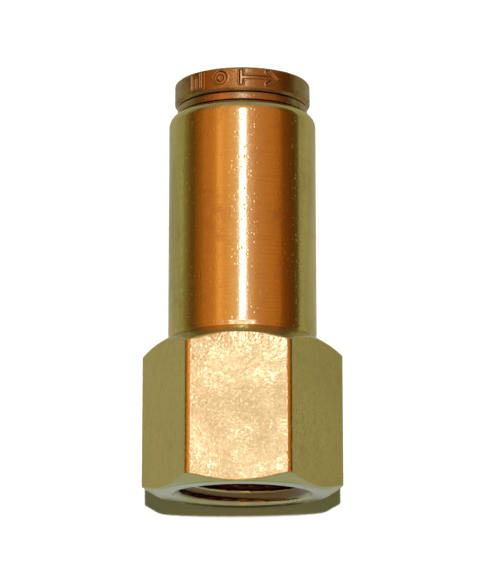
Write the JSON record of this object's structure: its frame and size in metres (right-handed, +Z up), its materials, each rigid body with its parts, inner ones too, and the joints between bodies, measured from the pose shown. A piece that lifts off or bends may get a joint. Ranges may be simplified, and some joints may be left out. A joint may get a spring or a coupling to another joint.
{
  "type": "flow control valve",
  "caption": "In-line flow control valve in brass: female pipe thread with a hexagon at one end, push-in tube connection at the other, metering jet and check poppet inside.",
  "frame": {"origin": "bottom centre of the bounding box, on the hexagon flat that the valve lies on", "axes": "+Y along the flow axis from the threaded port to the tube end, +Z up from the flat that the valve lies on, +X to the right seen from above with the tube end away"},
  "size_m": [0.02, 0.042, 0.0175],
  "materials": {
    "body_brass": "machined and tumbled, slightly warm tarnish",
    "retainer_brass": "turned",
    "collet_brass": "turned, darker tarnish, stamped marks on the rim",
    "inner_brass": "turned",
    "nitrile": "satin black",
    "nylon": "natural white",
    "spring_steel": "drawn",
    "stainless_steel": "etched"
  },
  "bodies": {
    "body": {"valve_body": "body_brass", "collet_retainer": "retainer_brass", "spacer_washer": "inner_brass", "tube_o_ring": "nitrile", "backup_ring": "nylon", "tube_support": "inner_brass", "poppet_spring": "spring_steel", "spring_guide": "inner_brass", "guide_bush": "nylon", "screen_frame": "inner_brass", "inlet_screen": "stainless_steel", "snap_ring": "spring_steel", "seat_ring": "inner_brass", "seat_o_ring": "nitrile", "cage_sleeve": "inner_brass"},
    "collet": {"collet": "collet_brass"},
    "poppet": {"poppet": "inner_brass", "poppet_seal": "nitrile", "orifice_jet": "inner_brass", "seal_washer": "inner_brass", "spring_seat": "stainless_steel"}
  },
  "joints": [
    {"name": "collet_slide", "type": "slide", "parent": "body", "child": "collet", "axis": [0, 1, 0], "range_m": [0, 0.0012]},
    {"name": "poppet_lift", "type": "slide", "parent": "body", "child": "poppet", "axis": [0, -1, 0], "range_m": [0, 0.001], "stiffness_N_per_m": 250, "springref_m": -0.0014, "deforming": ["poppet_spring"]}
  ]
}
